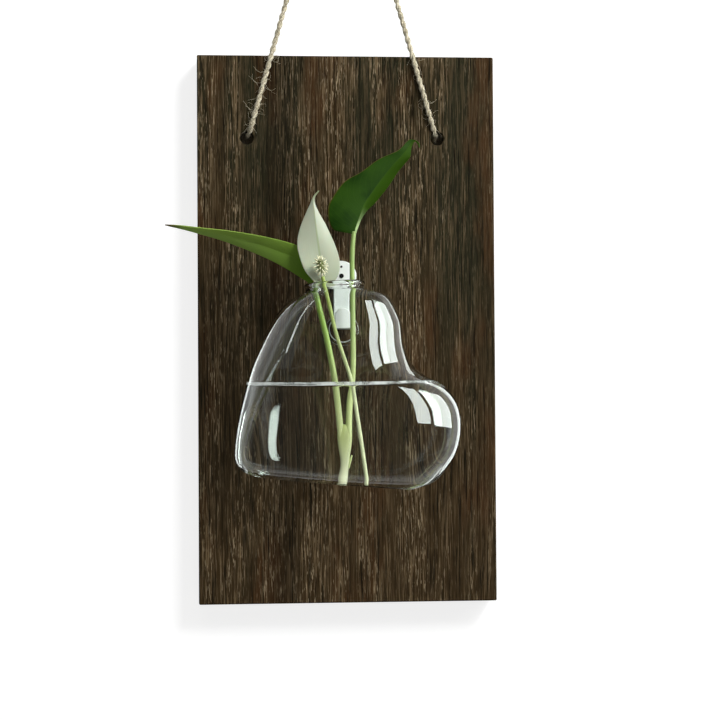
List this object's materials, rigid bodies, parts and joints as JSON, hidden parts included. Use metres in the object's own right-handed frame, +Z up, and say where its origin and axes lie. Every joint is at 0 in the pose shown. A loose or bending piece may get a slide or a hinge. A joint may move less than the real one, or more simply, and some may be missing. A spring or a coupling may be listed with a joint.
{
  "type": "hanging wall vase",
  "caption": "Heart-shaped blown glass bottle on a plastic hook, hung on a stained plank with a twine loop; holds water, a leaf shoot and a flower.",
  "frame": {"origin": "the point where the bend of the twine loop bears on the wall nail, in the plane of the twine", "axes": "+X right as seen from the front, +Y into the wall, +Z up"},
  "size_m": [0.1656, 0.0627, 0.3933],
  "materials": {
    "stained_wood": "matte",
    "jute": "matte",
    "white_plastic": "satin",
    "black_steel": "satin",
    "dark_steel": "satin",
    "clear_glass": "polished",
    "water": "polished",
    "pale_stem": "satin",
    "green_stem": "satin",
    "mid_green_leaf": "satin",
    "dark_green_leaf": "satin",
    "white_petal": "satin",
    "cream_spadix": "matte"
  },
  "bodies": {
    "board": {"back_board": "stained_wood", "vase_hook": "white_plastic", "hook_nail": "black_steel", "hook_pin": "dark_steel", "hanging_twine": "jute", "left_knot": "jute", "right_knot": "jute"},
    "vase": {"glass_vase": "clear_glass", "water": "water"},
    "leaf_shoot": {"shoot_base": "pale_stem", "left_petiole": "green_stem", "right_petiole": "green_stem", "left_leaf": "mid_green_leaf", "right_leaf": "dark_green_leaf", "side_bud": "pale_stem"},
    "flower": {"flower_stalk": "pale_stem", "spathe": "white_petal", "spadix": "cream_spadix"}
  },
  "joints": [
    {"name": "vase_swing", "type": "hinge", "parent": "board", "child": "vase", "pos_m": [-0.001, 0, -0.2515], "axis": [0, 1, 0], "range_deg": [-20, 20]},
    {"name": "shoot_lift", "type": "slide", "parent": "vase", "child": "leaf_shoot", "axis": [0, 0, 1], "range_m": [0, 0.104], "deforming": ["water"]},
    {"name": "flower_lift", "type": "slide", "parent": "vase", "child": "flower", "axis": [-0.2053, 0, 0.9787], "range_m": [0, 0.106], "deforming": ["water"]}
  ]
}
